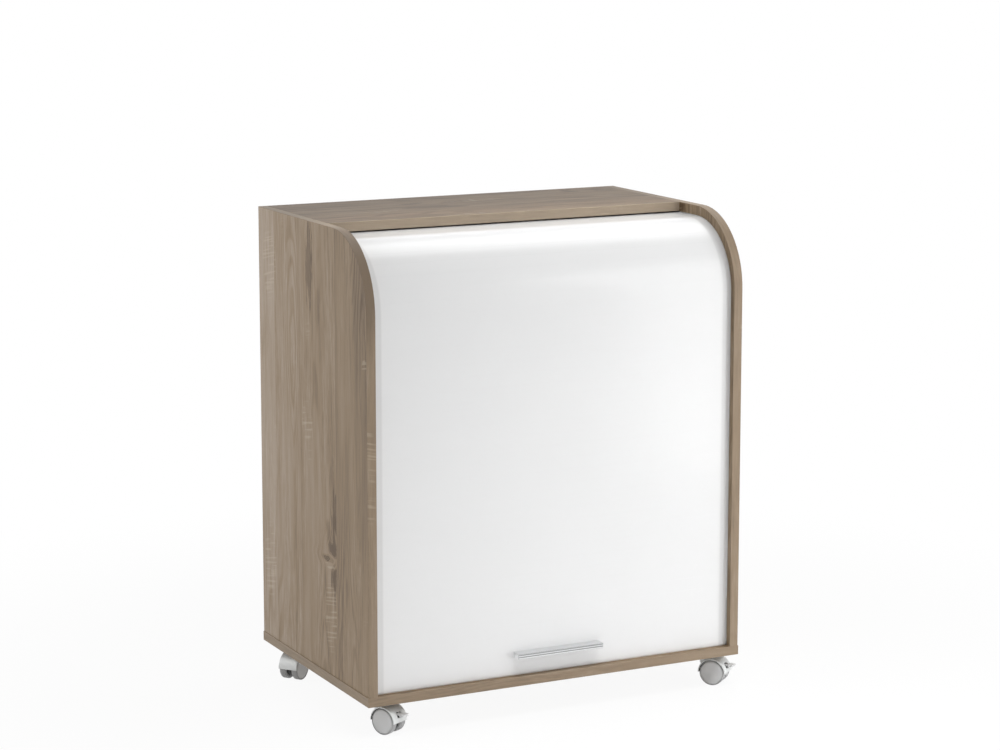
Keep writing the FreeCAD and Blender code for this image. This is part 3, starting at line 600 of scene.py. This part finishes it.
def turned(builder, place, direction, profile, sides):
    """The side faces of a body turned round an axis, and its first and last rows of points.

    The profile is (radius, distance along the axis) from one end to the other.
    """
    rows = []
    for radius, level in profile:
        rows.append(upright_points(builder, place, direction, circle(radius, sides), level))
    for upper, lower in zip(rows, rows[1:]):
        wall(builder, upper, lower)
    return rows[0], rows[-1]


# Shutter, built finer than its solids so that the bend reflects smoothly

SLAT_GAP = 0.02 * MILLIMETRE
SLAT_EDGE = 0.06 * MILLIMETRE
RAIL_EDGE = 0.3 * MILLIMETRE
ARC_STEPS = 8
FRONT_SLATS = 25
BEND_SLATS = 8


def extruded(builder, outline, low_x, high_x):
    """A bar along X from its closed outline in the YZ plane."""
    left, right = [[builder.verts.new((x, y, z)) for y, z in outline] for x in (low_x, high_x)]
    wall(builder, left, right)
    builder.faces.new(left)
    builder.faces.new(right)


def shutter(material):
    seam = (rail_high.z + slats_low.z) / 2
    front = slats_low.y
    thickness = slats_high.y - front
    bend_start = slats_high.z
    radius = upper_high.z - bend_start
    bend_length = radius * math.pi / 2

    def section(depth):
        """Points at a depth under the shutter's face, by distance along it from the start of the bend."""
        def place(run):
            if run <= 0:
                return (front + depth, bend_start + run)
            if run >= bend_length:
                return (front + radius + run - bend_length, upper_high.z - depth)
            angle = run / radius
            reach = radius - depth
            return (front + radius - reach * math.cos(angle), bend_start + reach * math.sin(angle))
        return place

    face = section(0.0)
    shoulder = section(SLAT_EDGE)
    back = section(thickness)

    def slat(first, last, steps):
        shares = [step / steps for step in range(steps + 1)]
        inside_edges = last - first - 2 * SLAT_EDGE
        points = [shoulder(first)]
        points += [face(first + SLAT_EDGE + inside_edges * share) for share in shares]
        points.append(shoulder(last))
        points += [back(last - (last - first) * share) for share in shares]
        return points

    def row(builder, first, last, count, steps):
        pitch = (last - first) / count
        for number in range(count):
            low = first + number * pitch
            outline = slat(low + SLAT_GAP / 2, low + pitch - SLAT_GAP / 2, steps)
            extruded(builder, outline, slats_low.x, slats_high.x)

    straight = bmesh.new()
    row(straight, seam - bend_start, 0.0, FRONT_SLATS, 1)
    slats = piece(straight, "shutter_slats_front", "carcass", "shutter_white", "shutter_front_slats",
                  material)
    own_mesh(slats)

    curved = bmesh.new()
    tail = upper_high.y - (front + radius)
    tail_count = round(tail / ((bend_start - seam) / FRONT_SLATS))
    row(curved, 0.0, bend_length, BEND_SLATS, ARC_STEPS)
    row(curved, bend_length, bend_length + tail, tail_count, 1)
    piece(curved, "shutter_slats_upper", "carcass", "shutter_white", "shutter_upper_slats", material)

    rail = bmesh.new()
    top = seam - SLAT_GAP / 2
    rail_outline = [(rail_low.y, top - SLAT_EDGE), (rail_low.y, rail_low.z + RAIL_EDGE),
                    (rail_low.y + RAIL_EDGE, rail_low.z), (rail_high.y - RAIL_EDGE, rail_low.z),
                    (rail_high.y, rail_low.z + RAIL_EDGE), (rail_high.y, top - RAIL_EDGE),
                    (rail_high.y - RAIL_EDGE, top), (rail_low.y + SLAT_EDGE, top)]
    extruded(rail, rail_outline, rail_low.x, rail_high.x)
    piece(rail, "shutter_rail_face", "shutter", "shutter_white", "shutter_rail", material)


# Castors

WHEEL_WIDTH = 13.5 * MILLIMETRE
WHEEL_SIDES = 64
DISC_SHARE = 0.90                # radius of the pale disc in the wheel's
DISC_RISE = 0.7 * MILLIMETRE     # dome of the disc
DISC_ROWS = (0.1, 0.3, 0.5, 0.7, 0.85, 0.97)
TYRE_ROWS = (20, 45, 68, 90)     # angles of the points round the tyre's shoulder
TYRE_ROUND = 2.5 * MILLIMETRE
GROOVE_WIDTH = 0.6 * MILLIMETRE
GROOVE_DEPTH = 0.9 * MILLIMETRE
BORE_RADIUS = 3.05 * MILLIMETRE
BORE_WALL = 3.0 * MILLIMETRE
HOOD_WALL = 2.2 * MILLIMETRE


def middle_of(node):
    low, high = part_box(node)
    return (low + high) / 2


def wheel(node, centre, outward, disc_material, tyre_material):
    """A wheel with a domed disc set into a tyre, and a bore from its inner face."""
    low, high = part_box(node)
    radius = (high.z - low.z) / 2
    disc = radius * DISC_SHARE
    outer = WHEEL_WIDTH / 2
    profile = [(disc * share, outer - DISC_RISE * share ** 2) for share in DISC_ROWS]
    profile += [(disc, outer - DISC_RISE - GROOVE_WIDTH / 2), (disc, outer - DISC_RISE - GROOVE_DEPTH)]
    tyre_start = disc + GROOVE_WIDTH
    profile.append((tyre_start, outer - DISC_RISE - GROOVE_DEPTH))
    round_in = radius - TYRE_ROUND
    shoulder = []
    for turn in [math.radians(angle) for angle in TYRE_ROWS]:
        level = outer - TYRE_ROUND * (1 - math.cos(turn))
        shoulder.append((round_in + TYRE_ROUND * math.sin(turn), level))
    profile += [(reach, level) for reach, level in shoulder if reach > tyre_start]
    profile += [(reach, -level) for reach, level in reversed(shoulder)]
    profile += [(round_in, -outer), (BORE_RADIUS, -outer), (BORE_RADIUS, outer - BORE_WALL)]
    builder = bmesh.new()
    cap, bore_end = turned(builder, centre, outward, profile, WHEEL_SIDES)
    builder.faces.new(cap)
    builder.faces.new(bore_end)
    body = node.removeprefix("castor_")
    made = piece(builder, f"{body}_turned", body, "wheel_grey", node, disc_material, tyre_material)
    for polygon in made.data.polygons:
        away = polygon.center - centre
        reach = (away - outward * away.dot(outward)).length
        on_tyre = reach > disc + GROOVE_WIDTH / 4 and away.dot(outward) > -outer + TYRE_ROUND / 4
        polygon.material_index = 1 if on_tyre else 0


def castors():
    silver = moulded("castor_silver", (0.76, 0.775, 0.77), (0.70, 0.715, 0.71), 0.38, grain=1800.0,
                     relief=0.04, metallic=0.20, wear=(0.78, 0.78, 0.78))
    # Black for the cores, and painted shade inside the hoods
    black_and_painted_shade = moulded("castor_black", (0.016, 0.016, 0.017), (0.010, 0.010, 0.011), 0.55)
    disc = moulded("wheel_disc_grey", (0.68, 0.682, 0.682), (0.64, 0.642, 0.642), 0.36, grain=1600.0,
                   relief=0.04)
    tyre = moulded("wheel_tyre_grey", (0.44, 0.44, 0.442), (0.37, 0.37, 0.371), 0.55, grain=1600.0,
                   relief=0.15)
    pale = moulded("brake_grey", (0.72, 0.72, 0.72), (0.66, 0.66, 0.66), 0.40, wear=(0.80, 0.80, 0.80))
    for node in nodes:
        if node.startswith("brake_lever"):
            dress(node, pale)
    for place in ("front_left", "front_right", "rear_left", "rear_right"):
        inner = middle_of(f"castor_wheel_{place}_inner")
        outer = middle_of(f"castor_wheel_{place}_outer")
        axle = (outer - inner).normalized()
        wheel(f"castor_wheel_{place}_inner", inner, -axle, disc, tyre)
        wheel(f"castor_wheel_{place}_outer", outer, axle, disc, tyre)
        dress(f"castor_core_{place}", black_and_painted_shade)
        hood = f"castor_hood_{place}"
        dress(hood, silver, black_and_painted_shade)
        # The hood's faces inside its wall round the axle take the black: painted shade inside the hood
        low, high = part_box(f"castor_wheel_{place}_inner")
        painted_shade_reach = (high.z - low.z) / 2 + HOOD_WALL / 2
        for polygon in nodes[hood].data.polygons:
            away = polygon.center - inner
            if (away - axle * away.dot(axle)).length < painted_shade_reach:
                polygon.material_index = 1


# Screws, with the recesses that their drivers turn

SCREW_SIDES = 24
SCREW_EDGE = 0.25 * MILLIMETRE
SCREW_SPREAD = 9.0 * MILLIMETRE  # vertices nearer than this, across the screws' axis, belong to one screw
RECESS_DEPTH = 0.75              # in the height of the head
CROSS_REACH = 0.62               # in the radius of the head
CROSS_HALF_WIDTH = 0.15
HEXAGON_REACH = 0.5

# Radius and height of the head and radius of the shank, in millimetres
BACK_SCREW = (2.7, 1.8, 1.5)
HANDLE_SCREW = (3.0, 2.0, 1.7)
CASTOR_SCREW = (3.5, 2.2, 1.75)
CONFIRMAT_SCREW = (5.0, 3.0, 2.5)
CAM_DISC = (7.5, 3.0, 7.3)


def cross(head_radius):
    reach = CROSS_REACH * head_radius
    half = CROSS_HALF_WIDTH * head_radius
    corners = []
    for turn in range(4):
        quarter = turn * math.pi / 2
        for x, y in ((reach, -half), (reach, half), (half, half)):
            corners.append((x * math.cos(quarter) - y * math.sin(quarter),
                            x * math.sin(quarter) + y * math.cos(quarter)))
    return corners


def hexagon(head_radius):
    return circle(HEXAGON_REACH * head_radius, 6)


def screw_heads(node, outward):
    """The middle of each screw's outer face and the screw's length, by gathering the node's vertices."""
    screws = []
    for vertex in nodes[node].data.vertices:
        across = vertex.co - outward * vertex.co.dot(outward)
        near = [found for found in screws if (found[0] - across).length < SCREW_SPREAD]
        if near:
            near[0][1].append(vertex.co)
        else:
            screws.append((across, [vertex.co]))
    heads = []
    for _, points in screws:
        low, high = [Vector(pick(column) for column in zip(*points)) for pick in (min, max)]
        middle = (low + high) / 2
        half_length = abs((high - low).dot(outward)) / 2
        heads.append((middle + outward * half_length, 2 * half_length))
    return heads


def screws(node, body, outward, sizes, recess, material):
    head_radius, head_height, shank_radius = [size * MILLIMETRE for size in sizes]
    outward = Vector(outward)
    depth = -RECESS_DEPTH * head_height
    builder = bmesh.new()
    for head, length in screw_heads(node, outward):
        profile = [(head_radius - SCREW_EDGE, 0.0), (head_radius, -SCREW_EDGE), (head_radius, -head_height),
                   (shank_radius, -head_height), (shank_radius, -length)]
        rim, tip = turned(builder, head, outward, profile, SCREW_SIDES)
        builder.faces.new(tip)
        mouth = upright_points(builder, head, outward, recess(head_radius), 0.0)
        floor = upright_points(builder, head, outward, recess(head_radius), depth)
        wall(builder, mouth, floor)
        builder.faces.new(floor)
        borders = []
        for loop in (rim, mouth):
            borders += [builder.edges.get((loop[number - 1], loop[number])) for number in range(len(loop))]
        bmesh.ops.triangle_fill(builder, use_beauty=True, edges=borders)
    piece(builder, f"{node}_driven", body, "zinc_steel", node, material)


def fasteners(metal):
    backwards, forwards, downwards = (0, 1, 0), (0, -1, 0), (0, 0, -1)
    screws("back_screws", "carcass", backwards, BACK_SCREW, cross, metal)
    screws("handle_screws", "shutter", forwards, HANDLE_SCREW, cross, metal)
    screws("castor_screws", "carcass", downwards, CASTOR_SCREW, cross, metal)
    screws("confirmat_screws", "carcass", downwards, CONFIRMAT_SCREW, hexagon, metal)
    screws("cam_discs", "carcass", downwards, CAM_DISC, cross, metal)
    for node in nodes:
        if node.startswith(("castor_axle", "brake_pin")):
            dress(node, metal)
    for node in ("cam_bolts", "castor_plates", "castor_kingpins", "shelf_pegs"):
        dress(node, metal)


# Dressing every node

def finish_nodes():
    oak_boards()
    shutter(gloss_white())
    castors()
    fasteners(zinc())
    track = moulded("track_plastic", (0.62, 0.62, 0.61), (0.54, 0.54, 0.53), 0.45)
    for node in ("shutter_track_left", "shutter_track_right", "rail_shoes"):
        dress(node, track)
    dress("rail_felt", felt())
    handle()
    dress("back_panel", hardboard())
    dress("wood_dowels", beech())
    grommet = moulded("grommet_plastic", (0.13, 0.105, 0.085), (0.095, 0.078, 0.062), 0.45)
    dress("cable_grommets", grommet)


# Stage, lights and camera

def white_to_the_eye(tree):
    """1 for rays that show the background: straight, mirrored or through something clear."""
    path = tree.node("ShaderNodeLightPath").outputs
    shown = tree.math("MAXIMUM", path["Is Camera Ray"], path["Is Glossy Ray"])
    return tree.math("MAXIMUM", shown, path["Is Transmission Ray"])


FLOOR_HALF = 30.0
FLOOR_GLOW = 0.93                # share of plain white in the floor near the desk, under its shadow
SHADOW_REACH = (0.7, 1.7)        # distances between which the floor turns plain white


def stage():
    corners = [(-FLOOR_HALF, -FLOOR_HALF, 0), (FLOOR_HALF, -FLOOR_HALF, 0), (FLOOR_HALF, FLOOR_HALF, 0),
               (-FLOOR_HALF, FLOOR_HALF, 0)]
    mesh = bpy.data.meshes.new("floor")
    mesh.from_pydata(corners, [], [(0, 1, 2, 3)])
    floor = bpy.data.objects.new("floor", mesh)
    bpy.context.scene.collection.objects.link(floor)
    tree = Tree("studio_floor")
    away = tree.length(tree.node("ShaderNodeTexCoord").outputs["Object"])
    matt = tree.node("ShaderNodeBsdfDiffuse", {"Color": (0.90, 0.90, 0.90)}).outputs[0]
    glow = tree.node("ShaderNodeEmission", {"Color": (1.0, 1.0, 1.0)}).outputs[0]
    plain = tree.fit(away, *SHADOW_REACH, FLOOR_GLOW, 1.0)
    share = tree.times(white_to_the_eye(tree), plain)
    mixed = tree.node("ShaderNodeMixShader", {0: share, 1: matt, 2: glow})
    tree.links.new(mixed.outputs[0], tree.output.inputs[0])
    mesh.materials.append(tree.material)


class Sky(Tree):
    """The world's nodes."""

    def __init__(self, name):
        self.world = bpy.data.worlds.new(name)
        self.world.use_nodes = True
        self.begin(self.world.node_tree, "ShaderNodeOutputWorld")


AMBIENT = 0.30


def surroundings():
    tree = Sky("studio")
    strength = tree.fit(white_to_the_eye(tree), 0.0, 1.0, AMBIENT, 1.0, smooth=False)
    glow = tree.node("ShaderNodeBackground", {"Color": (1.0, 1.0, 1.0), "Strength": strength})
    tree.links.new(glow.outputs[0], tree.output.inputs[0])
    bpy.context.scene.world = tree.world


def softbox(name, place, target, size, power, spread=180.0, mirrored=True):
    """An area lamp of a width and height, aimed at a target, with its power in watts."""
    lamp = bpy.data.lights.new(name, "AREA")
    lamp.shape = "RECTANGLE"
    lamp.size, lamp.size_y = size
    lamp.energy = power
    lamp.spread = math.radians(spread)
    box = bpy.data.objects.new(name, lamp)
    box.location = place
    box.rotation_euler = (Vector(target) - Vector(place)).to_track_quat("-Z", "Y").to_euler()
    box.visible_camera = False
    box.visible_glossy = mirrored
    bpy.context.scene.collection.objects.link(box)


def lights():
    softbox("key_right", (1.35, -1.30, 0.95), (0.1, -0.2, 0.50), size=(1.2, 1.9), power=10.3)
    softbox("low_right", (1.5, -1.9, 0.14), (0.0, 0.0, 0.10), size=(1.4, 0.22), power=8.5, mirrored=False)
    softbox("side_fill", (-2.5, 1.0, 1.3), (-0.4, 0.05, 0.5), size=(1.6, 1.8), power=25.5)
    softbox("overhead", (1.45, 1.02, 3.3), (1.45, 1.02, 0.0), size=(1.7, 1.95), power=22.0)
    softbox("floor_front", (0.1, -1.2, 2.6), (0.1, -1.1, 0.0), size=(1.2, 0.9), power=9.5, spread=70.0,
            mirrored=False)
    softbox("bend_up", (0.0, -0.07, 2.2), (0.0, -0.06, 0.0), size=(0.8, 0.08), power=0.28, spread=14.0,
            mirrored=False)
    softbox("rear_fill", (1.4, 3.4, 0.45), (0.1, 0.25, 0.45), size=(2.0, 0.8), power=24.0)


CAMERA_PLACE = (-2.38896, -4.75745, 1.58591)
CAMERA_YAW = 26.67
CAMERA_PITCH = -9.15
CAMERA_LENS = 100.0
CAMERA_SENSOR = 36.0
CAMERA_SHIFT = -0.06


def camera():
    data = bpy.data.cameras.new("photo_view")
    data.lens = CAMERA_LENS
    data.sensor_width = CAMERA_SENSOR
    data.shift_y = CAMERA_SHIFT
    view = bpy.data.objects.new("photo_view", data)
    view.location = CAMERA_PLACE
    view.rotation_euler = (math.radians(90 + CAMERA_PITCH), 0.0, math.radians(-CAMERA_YAW))
    bpy.context.scene.collection.objects.link(view)
    bpy.context.scene.camera = view


finish_nodes()
stage()
surroundings()
lights()
camera()
bpy.context.scene.view_settings.view_transform = "Standard"
